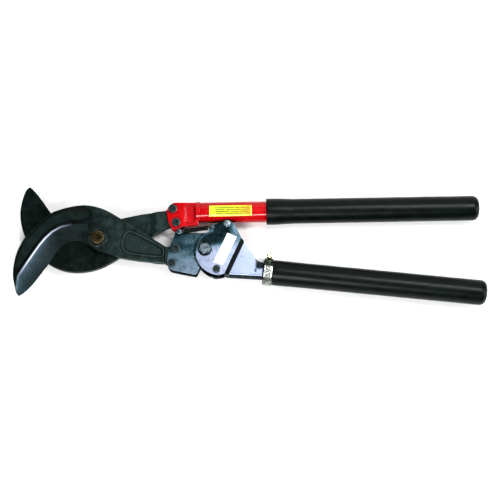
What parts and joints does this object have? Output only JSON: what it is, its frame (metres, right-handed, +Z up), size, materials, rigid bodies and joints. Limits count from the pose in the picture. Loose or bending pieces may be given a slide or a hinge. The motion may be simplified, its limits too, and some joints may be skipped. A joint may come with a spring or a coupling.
{
  "type": "ratchet cable cutter",
  "caption": "Long-handled hand cutter for soft cable, with two crossing hooked blades, a red fixed handle and a ratcheting lower handle with black rubber grips.",
  "frame": {"origin": "on the blade pivot axis, at the level of the surface the tool lies on", "axes": "+X from the blades to the handle ends, +Y towards the fixed red handle, +Z up from the surface, along the pivot axis"},
  "size_m": [0.7155, 0.1847, 0.04],
  "materials": {
    "blade_steel": "blued, oiled, worn edges",
    "red_paint": "gloss enamel",
    "black_oxide": "black oxide",
    "plate_steel": "oiled steel",
    "bright_steel": "zinc plated",
    "rubber": "satin",
    "label_yellow": "printed film",
    "label_white": "blank film",
    "spring_steel": "oiled",
    "bronze": "tarnished",
    "brass": "plated, polished",
    "stainless": "polished"
  },
  "bodies": {
    "fixed_handle": {"back_blade": "blade_steel", "upper_clevis": "red_paint", "upper_tube": "red_paint", "upper_grip": "rubber", "handle_label": "label_yellow", "clevis_bolts": "black_oxide", "clevis_nuts": "black_oxide", "centre_bolt": "bronze", "centre_washers": "black_oxide", "centre_nut": "plate_steel"},
    "moving_jaw": {"front_blade": "blade_steel", "ratchet_plate_front": "plate_steel", "ratchet_plate_back": "plate_steel", "ratchet_quadrant": "plate_steel", "quadrant_rivets": "plate_steel", "arm_bolts": "black_oxide", "arm_nuts": "black_oxide", "spring_stud": "bright_steel", "pivot_bush": "bronze", "handle_spring": "spring_steel"},
    "lower_handle": {"head_plate_front": "plate_steel", "head_plate_back": "plate_steel", "head_end_bar": "black_oxide", "handle_bracket": "bright_steel", "pivot_bolt": "bright_steel", "pivot_lock_washer": "bright_steel", "pivot_nut": "plate_steel", "pawl_bolt": "plate_steel", "pawl_nut": "plate_steel", "pawl_spacers": "plate_steel", "pawl_spring": "spring_steel", "stop_pin": "bright_steel", "spring_anchor_pin": "bright_steel", "lower_tube": "plate_steel", "lower_grip": "rubber", "clamp_band": "stainless", "clamp_housing": "stainless", "clamp_screw": "brass", "plate_label": "label_white"},
    "pawl": {"ratchet_pawl": "plate_steel"}
  },
  "joints": [
    {"name": "jaw", "type": "hinge", "parent": "fixed_handle", "child": "moving_jaw", "pos_m": [0, 0, 0.025], "axis": [0, 0, -1], "range_deg": [0, 80]},
    {"name": "handle_ratchet", "type": "hinge", "parent": "moving_jaw", "child": "lower_handle", "pos_m": [0.1631, -0.0184, 0.02], "axis": [0, 0, -1], "range_deg": [0, 30], "deforming": ["handle_spring"]},
    {"name": "pawl_release", "type": "hinge", "parent": "lower_handle", "child": "pawl", "pos_m": [0.1809, -0.0488, 0.02], "axis": [0, 0, -1], "range_deg": [-7, 8]}
  ]
}
